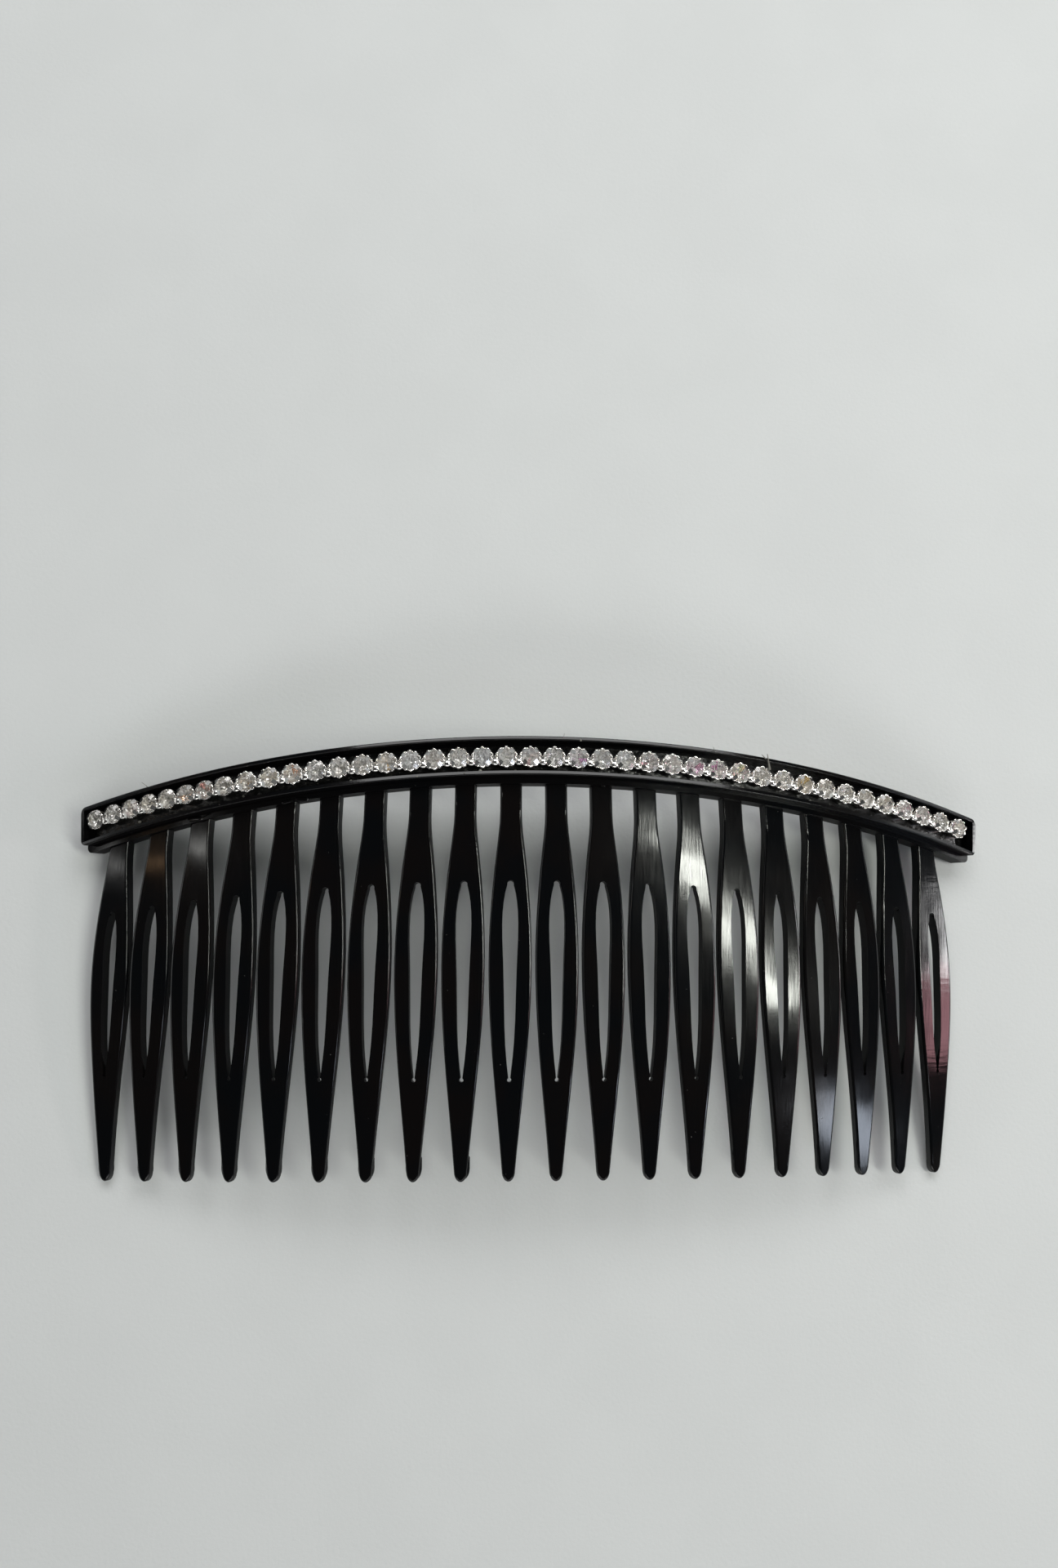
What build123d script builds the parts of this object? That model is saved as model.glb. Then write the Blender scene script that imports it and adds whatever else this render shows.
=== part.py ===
from build123d import *
import os
from math import asin, atan2, cos, degrees, hypot, pi, radians, sin

# A decorative side comb, lying front face up as it lies on a table.
# +X runs along the spine, +Y from the tips of the teeth to the spine, +Z up out of the front face.
# The origin is the middle of the bounding box's bottom.

# ---- Driving dimensions, in mm and degrees ----

# How the comb lies: tilted back until the end teeth's tips and the spine's two ends both touch.
rest_tilt = 4.5
middle_x = -1.127
tip_line_y = -25.646
apex_z = 16.703

# The arch of the comb, which follows the head, and the lengthwise bend of the teeth
arch_radius = 155.4
tooth_bend_radius = 219.0

# Rows of teeth, measured on the unrolled front face; heights are above the middle teeth's tips
tooth_count = 20
tooth_pitch = 5.6
fan_angle = 4.5  # outward lean of the first and the last tooth
root_height = 47.7
root_embed = 0.8  # how far the teeth run up inside the spine's foot before they are trimmed to it
slot_top_height = 36.1
slot_bottom_height = 11.9

# Each row's height falls away from the middle as a parabola; the fall is stated at this distance
camber_reference = 50.0
slot_top_camber = 3.12
tip_camber = 1.07

# Room for the tools that cut and trim, and what counts as lying in a plane or being square to it
tool_depth = 10
profile_overrun = 1
root_margin = 0.5
sweep_overrun = 2
in_plane = 0.01
square_end = 0.98
square_face = 0.9

# One tooth
neck_width = 2.67
belly_width = 5.25
shank_width = 1.62
tip_length = 1.3
tooth_thickness_root = 1.6
tooth_thickness_tip = 1.15
tooth_edge_radius = 0.28
neck_above_slot = 8.6  # where the neck starts to widen
flare_above_slot = 3.7
flare_share = 0.653  # half the width at the flare, as a share of the neck's width
belly_at = 0.6  # where the tooth is widest, as a share of the slot's length from its bottom
waist_above_slot_end = 0.4
waist_share = 0.355
shank_lean = 0.08  # sideways run of the outline where it reaches the tip
slot_width = 1.64
slot_shoulder_width = 0.8
slot_shoulder_drop = 0.5
slot_shoulder_lean = 0.3
slot_widest_at = 0.56
slot_taper_at = 0.1
slot_taper_share = 0.21
slot_end_at = 0.02
slot_end_width = 0.24
slot_end_lean = 0.1

# The moulded bead on the tips of the first teeth
bead_count = 9
bead_width = 1.96
bead_length = 2.9
bead_offset_first = -0.17
bead_offset_last = 0.13
bead_set_back = 0.35
bead_thickness = 0.9

# The spine: a channel for the stones with a stepped foot that carries the teeth
spine_height = 51.2  # the groove's middle line above the tips
spine_left = 58.0
spine_right = 60.4
channel_width = 4.8
channel_front = 2.0
foot_front = 0.5
foot_step = 0.85
spine_back = -1.9
groove_width = 3.8
groove_floor = 0.0
end_wall = 0.42
spine_corner_radius = 0.6
rim_edge_radius = 0.12
rim_fall = 0.16  # how far the top of each of the channel's walls falls away from the teeth
half_chord = 57.0
camber_at_half_chord = 7.84

# The stone chain
stone_count = 41
stone_pitch = 2.92
crowded_pitch = 2.535
crowded_count = 7
last_stone = 57.9
chain_offset_middle = -0.14
chain_offset_fall = 0.5
stone_diameter = 2.36
table_diameter = 1.3
girdle_height = 1.45
girdle_thickness = 0.08
crown_height = 0.46
pavilion_depth = 1.0
facet_count = 8
cup_diameter = 2.46
cup_wall = 0.05
seat_depth = 0.08
cup_bottom = 0.15
cup_base = 0.15
claw_count = 4
claw_width = 0.5
claw_drop = 0.4  # how far below the girdle a claw stands clear of its cup
claw_thickness = 0.14
claw_reach = 0.42
claw_stand_out = 0.056  # how far a claw stands out of its cup's wall
claw_root = 0.6  # how far down its cup a claw is rooted
star_share = 0.6  # the small facets' slopes, as shares of the main facets'
break_share = 1.12
setting_tilt = 2.0
tilt_turn = 1.7  # radians from one stone's tilt to the next, about each axis
tip_turn = 2.3
link_height = 0.56
link_width = 0.7
link_thickness = 0.2
link_embed = 0.25
bed_top = 0.28
bed_width = 3.0
bed_end_gap = 0.6

# ---- Frames ----

comb_frame = Plane(
    origin=(middle_x, tip_line_y, apex_z),
    x_dir=(1, 0, 0),
    z_dir=(0, sin(radians(rest_tilt)), cos(radians(rest_tilt))),
)


def fall(middle, camber, distance):
    """Height of a cambered row at a distance from the comb's middle."""
    return middle - camber * (distance / camber_reference) ** 2


def in_comb(origin, x_dir, z_dir):
    """A plane given in the comb's own frame."""
    place = comb_frame.location
    start = place.position
    turned = comb_frame.from_local_coords
    tip_x = turned(Vector(*x_dir)) - start
    tip_z = turned(Vector(*z_dir)) - start
    return Plane(origin=turned(Vector(*origin)), x_dir=tip_x, z_dir=tip_z)


def arch_plane(distance, height, lift=0.0, lean=0.0):
    """A plane on the arch, its x along the arch and its z out of the front face."""
    angle = distance / arch_radius
    reach = arch_radius + lift
    along = Vector(cos(angle), 0, -sin(angle))
    x_dir = along * cos(lean) + Vector(0, sin(lean), 0)
    origin = (reach * sin(angle), height, reach * cos(angle) - arch_radius)
    return in_comb(origin, (x_dir.X, x_dir.Y, x_dir.Z), (sin(angle), 0, cos(angle)))


# The spine's middle line is one circle, in a plane that takes in both the arch and the camber.
arch_sagitta = arch_radius - (arch_radius**2 - half_chord**2) ** 0.5
spine_sagitta = hypot(arch_sagitta, camber_at_half_chord)
spine_radius = (half_chord**2 + spine_sagitta**2) / (2 * spine_sagitta)
camber_share = camber_at_half_chord / spine_sagitta
arch_share = arch_sagitta / spine_sagitta
spine_centre = Vector(
    0,
    spine_height - spine_radius * camber_share,
    -spine_radius * arch_share,
)
spine_axis_dir = Vector(0, arch_share, -camber_share)


def spine_plane(distance, offset=0.0, lift=0.0):
    """A plane on the spine, square to its line: x along it, y towards its outer edge, z out."""
    reach = spine_radius + lift * arch_share + offset * camber_share
    angle = asin((arch_radius + lift) * sin(distance / arch_radius) / reach)
    outward = Vector(sin(angle), cos(angle) * camber_share, cos(angle) * arch_share)
    along = Vector(cos(angle), -sin(angle) * camber_share, -sin(angle) * arch_share)
    across = spine_axis_dir * arch_share + outward * camber_share
    normal = outward * arch_share - spine_axis_dir * camber_share
    origin = spine_centre + outward * spine_radius + across * offset + normal * lift
    return in_comb(tuple(origin), tuple(along), tuple(normal))


def spine_section_plane(angle_degrees):
    """The plane across the spine at an angle round its circle: x to the outer edge, y out."""
    angle = radians(angle_degrees)
    outward = Vector(sin(angle), cos(angle) * camber_share, cos(angle) * arch_share)
    along = Vector(cos(angle), -sin(angle) * camber_share, -sin(angle) * arch_share)
    across = spine_axis_dir * arch_share + outward * camber_share
    origin = spine_centre + outward * spine_radius
    return in_comb(tuple(origin), tuple(across), tuple(along))


centre_plane = in_comb(tuple(spine_centre), (1, 0, 0), tuple(spine_axis_dir))
spine_axis = Axis(centre_plane.origin, centre_plane.z_dir)


# ---- The spine ----

start_angle = -degrees(asin((spine_left + sweep_overrun) / spine_radius))
sweep_angle = degrees(asin((spine_right + sweep_overrun) / spine_radius)) - start_angle
half_channel = channel_width / 2
half_groove = groove_width / 2
foot_height = spine_height - half_channel - foot_step
foot_camber = camber_at_half_chord * (camber_reference / half_chord) ** 2


def end_plane(distance):
    """The plane across the arch that ends the spine or its groove, facing towards +X."""
    place = arch_plane(distance, spine_height)
    return Plane(origin=place.origin, x_dir=place.y_dir, z_dir=place.x_dir)


def end_corners(part, distance):
    """The edges of an end face that run from the front of the spine to its back."""
    plane = end_plane(distance)
    front = arch_plane(distance, spine_height).z_dir
    at_end = part.edges().filter_by(lambda edge: abs(plane.to_local_coords(edge.center()).Z) < in_plane)
    return at_end.filter_by(lambda edge: abs((edge % 0.5).dot(front)) > square_end)


with BuildPart() as groove:
    with BuildSketch(spine_section_plane(start_angle)):
        with Locations((0, groove_floor)):
            Rectangle(groove_width, 2 * channel_front, align=(Align.CENTER, Align.MIN))
    revolve(axis=spine_axis, revolution_arc=sweep_angle)
    split(bisect_by=end_plane(end_wall - spine_left), keep=Keep.TOP)
    split(bisect_by=end_plane(spine_right - end_wall), keep=Keep.BOTTOM)

with BuildPart() as comb_spine:
    with BuildSketch(spine_section_plane(start_angle)):
        with BuildLine():
            Polyline(
                (half_channel, spine_back),
                (half_channel, channel_front - rim_fall),
                (half_groove, channel_front),
                (-half_groove, channel_front - rim_fall),
                (-half_channel, channel_front),
                (-half_channel, foot_front),
                (-half_channel - foot_step, foot_front),
                (-half_channel - foot_step, spine_back),
                close=True,
            )
        make_face()
    revolve(axis=spine_axis, revolution_arc=sweep_angle)
    split(bisect_by=end_plane(-spine_left), keep=Keep.TOP)
    split(bisect_by=end_plane(spine_right), keep=Keep.BOTTOM)
    corners = end_corners(comb_spine, -spine_left) + end_corners(comb_spine, spine_right)
    fillet(corners, spine_corner_radius)
    add(groove.part, mode=Mode.SUBTRACT)
    rounded = []
    for offset, count in ((-half_channel, 1), (half_channel, 2)):
        over_rim = spine_plane(0, offset=offset, lift=channel_front + rim_fall).origin
        rim = comb_spine.faces().sort_by_distance(over_rim)[0]
        rounded += rim.edges().sort_by(SortBy.LENGTH)[-count:]
    fillet(rounded, rim_edge_radius)
comb_spine.part.label = "comb_spine"


# ---- The teeth ----


def side_points(tip, top, bottom):
    """One side of a tooth's outline, from its neck down to its shank."""
    length = top - bottom
    neck = (neck_width / 2, top + neck_above_slot)
    flare = (flare_share * neck_width, top + flare_above_slot)
    belly = (belly_width / 2, bottom + belly_at * length)
    waist = (waist_share * belly_width, bottom + waist_above_slot_end)
    shank = (shank_width / 2, tip + tip_length)
    return [neck, flare, belly, waist, shank]


def slot_points(top, bottom):
    """One side of a tooth's slot, from its rounded top to its pointed bottom."""
    length = top - bottom
    shoulder = (slot_shoulder_width / 2, top - slot_shoulder_drop)
    middle = (slot_width / 2, bottom + slot_widest_at * length)
    taper = (slot_taper_share * slot_width, bottom + slot_taper_at * length)
    end = (slot_end_width / 2, bottom + slot_end_at * length)
    return [shoulder, middle, taper, end]


def mirrored(points):
    """The same points on the other side of the tooth's axis, in the opposite order."""
    return [(-x, y) for x, y in reversed(points)]


def front_face(height):
    """How far the bent front face lies below its level at the root."""
    return (tooth_bend_radius**2 - height**2) ** 0.5 - tooth_bend_radius


def bead_offset(number):
    """How far a tip's bead is out of line: the first ones stand out to the left."""
    share = (number - 1) / (bead_count - 1)
    return bead_offset_first + share**2 * (bead_offset_last - bead_offset_first)


def broad_edges(part, plan, end):
    """The edges round the front and back faces, but for those at the cut end of the root."""
    broad = part.faces().filter_by(lambda face: abs(face.normal_at().dot(plan.z_dir)) > square_face)
    return broad.edges().filter_by(lambda edge: plan.to_local_coords(edge.center()).Y < end)


teeth = []
for number in range(1, tooth_count + 1):
    step = number - (tooth_count + 1) / 2
    side = step / ((tooth_count - 1) / 2)
    distance = step * tooth_pitch
    span = arch_radius * sin(distance / arch_radius)
    plan = arch_plane(distance, root_height, lean=radians(fan_angle) * side)
    profile = Plane(plan.origin, x_dir=plan.y_dir, z_dir=plan.x_dir)
    root = fall(foot_height, foot_camber, span) - root_height + root_embed
    tip = fall(0, tip_camber, span) - root_height
    top = fall(slot_top_height, slot_top_camber, span) - root_height
    bottom = slot_bottom_height - root_height
    right_side = side_points(tip, top, bottom)
    left_side = mirrored(right_side)
    right_slot = slot_points(top, bottom)
    left_slot = mirrored(right_slot)
    low = tip - profile_overrun
    half = low / 2
    half_thickness = (tooth_thickness_root + tooth_thickness_tip) / 2

    with BuildPart() as bead:
        bead_middle = tip + bead_length / 2
        slope = asin(-bead_middle / tooth_bend_radius)
        seat = plan.from_local_coords(Vector(bead_offset(number), bead_middle, front_face(bead_middle)))
        normal = plan.z_dir * cos(slope) - plan.y_dir * sin(slope)
        bead_plane = Plane(seat, x_dir=plan.x_dir, z_dir=normal)
        with BuildSketch(bead_plane.offset(-bead_set_back)):
            with BuildLine():
                Line((bead_width / 2, bead_length / 2), (-bead_width / 2, bead_length / 2))
                Line((-bead_width / 2, bead_length / 2), (-bead_width / 2, 0))
                EllipticalCenterArc((0, 0), bead_width / 2, bead_length / 2, 180, arc_size=180)
                Line((bead_width / 2, 0), (bead_width / 2, bead_length / 2))
            make_face()
        extrude(amount=-bead_thickness)
        fillet(bead.edges(), tooth_edge_radius)

    with BuildPart() as tooth:
        with BuildSketch(plan):
            with BuildLine():
                Line((-neck_width / 2, root), (neck_width / 2, root))
                Line((neck_width / 2, root), right_side[0])
                Spline(*right_side, tangents=[(0, -1), (-shank_lean, -1)])
                EllipticalCenterArc((0, tip + tip_length), shank_width / 2, tip_length, 180, arc_size=180)
                Spline(*left_side, tangents=[(-shank_lean, 1), (0, 1)])
                Line(left_side[-1], (-neck_width / 2, root))
            make_face()
        extrude(amount=tool_depth, both=True)
        with BuildSketch(profile):
            with BuildLine():
                ThreePointArc((root, front_face(root)), (half, front_face(half)), (low, front_face(low)))
                Line((low, front_face(low)), (low, front_face(low) - tooth_thickness_tip))
                ThreePointArc(
                    (low, front_face(low) - tooth_thickness_tip),
                    (half, front_face(half) - half_thickness),
                    (root, front_face(root) - tooth_thickness_root),
                )
                Line((root, front_face(root) - tooth_thickness_root), (root, front_face(root)))
            make_face()
        extrude(amount=tool_depth, both=True, mode=Mode.INTERSECT)
        fillet(broad_edges(tooth, plan, root - root_margin), tooth_edge_radius)
        with BuildSketch(plan):
            with BuildLine():
                ThreePointArc(left_slot[-1], (0, top), right_slot[0])
                Spline(*right_slot, tangents=[(slot_shoulder_lean, -1), (-slot_end_lean, -1)])
                ThreePointArc(right_slot[-1], (0, bottom), left_slot[0])
                Spline(*left_slot, tangents=[(-slot_end_lean, 1), (slot_shoulder_lean, 1)])
            make_face()
        extrude(amount=tool_depth, both=True, mode=Mode.SUBTRACT)
        if number <= bead_count:
            add(bead.part)
        add(comb_spine.part, mode=Mode.SUBTRACT)
    teeth.append(tooth.part)

with BuildPart() as comb_teeth:
    for tooth_part in teeth:
        add(tooth_part)
comb_teeth.part.label = "comb_teeth"

# ---- The stone chain ----

# One stone, its girdle round the origin and its table upwards
crown_slope = atan2(crown_height, (stone_diameter - table_diameter) / 2)
pavilion_slope = atan2(pavilion_depth, stone_diameter / 2)
half_girdle = girdle_thickness / 2
facet_step = 360 / facet_count


def facet(azimuth, reach, height, slope):
    """The plane of a facet that faces an azimuth, through a radius and height, tilted from level."""
    turn = radians(azimuth)
    normal = (sin(slope) * cos(turn), sin(slope) * sin(turn), cos(slope))
    return Plane(origin=(reach * cos(turn), reach * sin(turn), height), z_dir=normal)


with BuildPart() as stone:
    with BuildSketch(Plane.XY.offset(-half_girdle - pavilion_depth)):
        Circle(stone_diameter / 2)
    extrude(amount=pavilion_depth + girdle_thickness + crown_height)
    for index in range(facet_count):
        main = index * facet_step
        between = main + facet_step / 2
        edge_reach = stone_diameter / 2
        star_reach = table_diameter / 2
        split(bisect_by=facet(main, edge_reach, half_girdle, crown_slope), keep=Keep.BOTTOM)
        star = facet(between, star_reach, half_girdle + crown_height, star_share * crown_slope)
        split(bisect_by=star, keep=Keep.BOTTOM)
        for quarter in (main + facet_step / 4, between + facet_step / 4):
            break_facet = facet(quarter, edge_reach, half_girdle, break_share * crown_slope)
            split(bisect_by=break_facet, keep=Keep.BOTTOM)
        under = facet(between, edge_reach, -half_girdle, pi - pavilion_slope)
        split(bisect_by=under, keep=Keep.BOTTOM)

# One setting: a cup that holds the stone's lower half, with claws bent over its crown
cup_floor = cup_bottom - girdle_height
cup_radius = cup_diameter / 2
seat_radius = cup_radius - cup_wall
claw_top = half_girdle + claw_reach * crown_height / ((stone_diameter - table_diameter) / 2)
claw_inner = stone_diameter / 2 - claw_reach
claw_outer = cup_radius + claw_stand_out
with BuildPart() as claw:
    with BuildSketch(Plane.XZ):
        with BuildLine():
            Polyline(
                (stone_diameter / 2, half_girdle),
                (claw_inner, claw_top),
                (claw_inner, claw_top + claw_thickness),
                (claw_outer, half_girdle + claw_thickness),
                (claw_outer, -claw_drop),
                (cup_radius, -claw_root),
                (seat_radius, -claw_root),
                (seat_radius, half_girdle),
                close=True,
            )
        make_face()
    extrude(amount=claw_width / 2, both=True)

with BuildPart() as cup:
    with BuildSketch(Plane.XZ):
        with BuildLine():
            Polyline(
                (0, cup_floor),
                (cup_radius, cup_floor),
                (cup_radius, half_girdle),
                (seat_radius, half_girdle),
                (seat_radius, -half_girdle - seat_depth),
                (0, cup_floor + cup_base),
                close=True,
            )
        make_face()
    revolve(axis=Axis.Z)
    with PolarLocations(0, claw_count, start_angle=facet_step):
        add(claw.part)


def stone_distance(number):
    """How far along the arch a stone sits: the first few are pushed closer together."""
    crowded = max(crowded_count + 1 - number, 0)
    spaced = stone_count - number - crowded
    return last_stone - spaced * stone_pitch - crowded * crowded_pitch


def chain_offset(distance):
    """How far the chain strays from the groove's middle line, as it bends less than the groove."""
    span = arch_radius * sin(distance / arch_radius)
    return chain_offset_middle + chain_offset_fall * (span / camber_reference) ** 2


def setting_plane(number):
    """Where a stone sits: its girdle's plane, with the small tilt and turn it was set with."""
    distance = stone_distance(number)
    place = spine_plane(distance, chain_offset(distance), girdle_height)
    tilt = (setting_tilt * sin(tilt_turn * number), setting_tilt * cos(tip_turn * number), 0)
    return place.rotated(tilt)


settings = [setting_plane(number) for number in range(1, stone_count + 1)]
with BuildPart() as setting_cups:
    for place in settings:
        with Locations(place):
            add(cup.part)
setting_cups.part.label = "setting_cups"

with BuildPart() as chain_links:
    for number in range(1, stone_count):
        distance = (stone_distance(number) + stone_distance(number + 1)) / 2
        length = stone_distance(number + 1) - stone_distance(number) - cup_diameter + 2 * link_embed
        with Locations(spine_plane(distance, chain_offset(distance), link_height)):
            Box(length, link_width, link_thickness)
    add(setting_cups.part, mode=Mode.SUBTRACT)
chain_links.part.label = "chain_links"

with BuildPart() as adhesive_bed:
    with BuildSketch(spine_section_plane(start_angle)):
        with Locations((chain_offset_middle / 2, groove_floor)):
            Rectangle(bed_width, bed_top - groove_floor, align=(Align.CENTER, Align.MIN))
    revolve(axis=spine_axis, revolution_arc=sweep_angle)
    split(bisect_by=end_plane(end_wall + bed_end_gap - spine_left), keep=Keep.TOP)
    split(bisect_by=end_plane(spine_right - end_wall - bed_end_gap), keep=Keep.BOTTOM)
    add(setting_cups.part, mode=Mode.SUBTRACT)
adhesive_bed.part.label = "adhesive_bed"

# ---- Files ----

os.makedirs("parts", exist_ok=True)
export_step(comb_spine.part, "parts/comb_spine.step")
export_step(comb_teeth.part, "parts/comb_teeth.step")
export_step(adhesive_bed.part, "parts/adhesive_bed.step")
export_step(setting_cups.part, "parts/setting_cups.step")
export_step(chain_links.part, "parts/chain_links.step")
for number, place in enumerate(settings, start=1):
    with BuildPart() as rhinestone:
        with Locations(place):
            add(stone.part)
    rhinestone.part.label = f"rhinestone_{number:02d}"
    export_step(rhinestone.part, f"parts/rhinestone_{number:02d}.step")
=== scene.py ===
from math import atan2, pi, radians

import bmesh
import bpy
from bpy.props import FloatProperty, FloatVectorProperty, IntProperty, PointerProperty
from mathutils import Euler, Matrix, Vector


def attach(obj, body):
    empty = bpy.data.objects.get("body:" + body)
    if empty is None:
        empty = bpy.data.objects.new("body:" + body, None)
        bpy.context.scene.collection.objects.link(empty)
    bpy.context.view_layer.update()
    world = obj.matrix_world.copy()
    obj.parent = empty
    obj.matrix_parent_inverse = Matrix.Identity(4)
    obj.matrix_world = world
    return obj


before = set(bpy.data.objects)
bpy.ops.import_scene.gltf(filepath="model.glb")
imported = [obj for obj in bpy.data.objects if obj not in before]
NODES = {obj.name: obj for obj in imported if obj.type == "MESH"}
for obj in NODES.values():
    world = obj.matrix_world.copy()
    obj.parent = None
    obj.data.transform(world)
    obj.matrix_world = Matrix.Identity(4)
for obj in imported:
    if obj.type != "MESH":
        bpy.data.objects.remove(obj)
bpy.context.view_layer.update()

bl_info = {
    "name": "Decorative Hair Comb",
    "version": (1, 0, 0),
    "blender": (4, 5, 0),
    "location": "View3D > Sidebar > Hair Comb",
    "description": "Finishes and fine detail of a moulded hair comb set with a cup chain",
    "category": "Object",
}

MM = 0.001

# Stones: how high the table stands over the girdle, how far apart the foil's painted glints change,
# and where along the chain the outer stones start to turn warm and are fully warm
CROWN_HEIGHT = 0.5 * MM
PAINTED_GLINT_STEP = 2.9 * MM
OUTER_STONES = (12 * MM, 34 * MM)

# Finding a stone's table: a face that looks up, faces in one flat, and a clearly larger flat
LOOKS_UP = 0.5
SAME_FLAT = 0.9995
CLEARLY_LARGER = 1.001

# Where along the spine the chatter of the last teeth begins and is full
CHATTER_FROM = (43 * MM, 50 * MM)

# Depth of the relief in each finish
PLASTIC_RELIEF = 0.0035 * MM
PLATING_RELIEF = 0.02 * MM
FOIL_RELIEF = 0.22 * MM
GLUE_RELIEF = 0.12 * MM
THREAD_RELIEF = 0.03 * MM
PAPER_RELIEF = 0.03 * MM

# A cup's rim: steps in a lobe, how near a valley's middle a vertex counts as in it, lobe height
LOBE_STEPS = 4
VALLEY_REACH = 0.3
LOBE_HEIGHT = 1.3

# A solder bead: its shape, its neck, how far it stands out and where it sits between two cups
BEAD_SHAPE = (1.0, 0.85, 0.6)
BEAD_NECK_BELOW = -0.2
BEAD_NECK_WIDTH = 0.6
BEAD_STAND_OUT = 0.06 * MM
BEAD_SEAT = (0.10 * MM, -0.62 * MM, 0.0)

# A glue thread: steps in its length, its tip's radius as a share of its width, its growing bend
# along and across, its taper at each step, and how upright it leans
THREAD_STEPS = 6
THREAD_TIP = 0.36
THREAD_BEND = (0.05, 0.09)
THREAD_TAPER = 0.80
THREAD_UPRIGHT = 0.45

# A glue speck: the spread of its foot, its shape, and the turn from one speck to the next
SPECK_FOOT = (1.25, 1.15, 1.0)
SPECK_SHAPE = (1.3, 1.0, 0.7)
SPECK_TURN = 1.9

# Mould flash: its shape, how rough it is, and where it sits across and out of the chain
FLASH_SHAPE = (1.0, 0.34, 0.30)
FLASH_ROUGHNESS = 0.5
FLASH_SEED = 4
FLASH_ACROSS = -3.12 * MM
FLASH_OUT = -1.12 * MM

# The stage: the paper's size and cuts, the room's heights where it turns dark, and the camera
PAPER_SIZE = 3.0
PAPER_CUTS = 7
DARK_FROM = (0.22, 0.42)
SENSOR_WIDTH = 36.0
NEAREST_SEEN = 5 * MM


# ---- Shader building ----


class Wire:
    """A shader socket that can be used in Python arithmetic; each operator adds its Math node."""

    def __init__(self, finish, socket):
        self.finish = finish
        self.socket = socket

    def math(self, operation, *values):
        sockets = dict(enumerate(values))
        return self.finish.node("ShaderNodeMath", {"operation": operation}, sockets, "Value")

    def __add__(self, other):
        return self.math("ADD", self, other)

    __radd__ = __add__

    def __sub__(self, other):
        return self.math("SUBTRACT", self, other)

    def __rsub__(self, other):
        return self.math("SUBTRACT", other, self)

    def __mul__(self, other):
        return self.math("MULTIPLY", self, other)

    __rmul__ = __mul__

    def __truediv__(self, other):
        return self.math("DIVIDE", self, other)

    def __rtruediv__(self, other):
        return self.math("DIVIDE", other, self)

    def __abs__(self):
        return self.math("ABSOLUTE", self)

    def whole(self):
        """The whole number below the value."""
        return self.math("FLOOR", self)

    def above(self, edge):
        """1 above an edge, 0 below it."""
        return self.math("GREATER_THAN", self, edge)


class Finish:
    """A node tree under construction."""

    def __init__(self, owner):
        self.owner = owner
        owner.use_nodes = True
        self.tree = owner.node_tree
        self.tree.nodes.clear()

    def node(self, kind, settings, values, output):
        """Add a node, make its settings, fill its sockets, and give the wire of one output."""
        made = self.tree.nodes.new(kind)
        for name, value in settings.items():
            setattr(made, name, value)
        for name, value in values.items():
            if isinstance(value, Wire):
                self.tree.links.new(value.socket, made.inputs[name])
            else:
                made.inputs[name].default_value = value
        return Wire(self, made.outputs[output]) if output is not None else made

    def place(self):
        """The place on the piece, which every pattern reads."""
        return self.node("ShaderNodeTexCoord", {}, {}, "Object")

    def part_of(self, vector, axis):
        """One part of a vector: X, Y or Z."""
        return self.node("ShaderNodeSeparateXYZ", {}, {"Vector": vector}, axis)

    def stretched(self, vector, scale):
        """A place stretched along its axes."""
        return self.node("ShaderNodeMapping", {}, {"Vector": vector, "Scale": scale}, "Vector")

    def noise(self, vector, scale, detail=3.0):
        values = {"Vector": vector, "Scale": scale, "Detail": detail, "Roughness": 0.5}
        return self.node("ShaderNodeTexNoise", {}, values, "Fac")

    def band(self, value, low, high):
        """0 below low, 1 above high, smooth between."""
        settings = {"interpolation_type": "SMOOTHSTEP"}
        values = {"Value": value, "From Min": low, "From Max": high}
        return self.node("ShaderNodeMapRange", settings, values, "Result")

    def blend(self, factor, first, second):
        """A colour between two colours."""
        settings = {"data_type": "RGBA"}
        return self.node("ShaderNodeMix", settings, {0: factor, 6: first, 7: second}, 2)

    def bump(self, height, distance):
        values = {"Height": height, "Distance": distance, "Strength": 1.0}
        return self.node("ShaderNodeBump", {}, values, "Normal")

    def surface(self, **values):
        """A Principled shader whose sockets are named with underscores for spaces."""
        named = {name.replace("_", " "): value for name, value in values.items()}
        return self.node("ShaderNodeBsdfPrincipled", {}, named, "BSDF")

    def either(self, factor, first, second):
        """The first shader where the factor is 0, the second where it is 1."""
        values = {0: factor, 1: first, 2: second}
        return self.node("ShaderNodeMixShader", {}, values, "Shader")

    def output(self, shader, kind="ShaderNodeOutputMaterial"):
        """Close the tree, and give the material or the world that it belongs to."""
        self.node(kind, {}, {"Surface": shader}, None)
        return self.owner


def colour(red, green, blue):
    """A solid colour."""
    return (red, green, blue, 1.0)


def new_finish(name):
    return Finish(bpy.data.materials.new(name))


def clothe(node_name, material):
    """Give a CAD node's own object a finish."""
    for slot in NODES[node_name].material_slots:
        slot.material = material


# ---- Finishes ----


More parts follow.
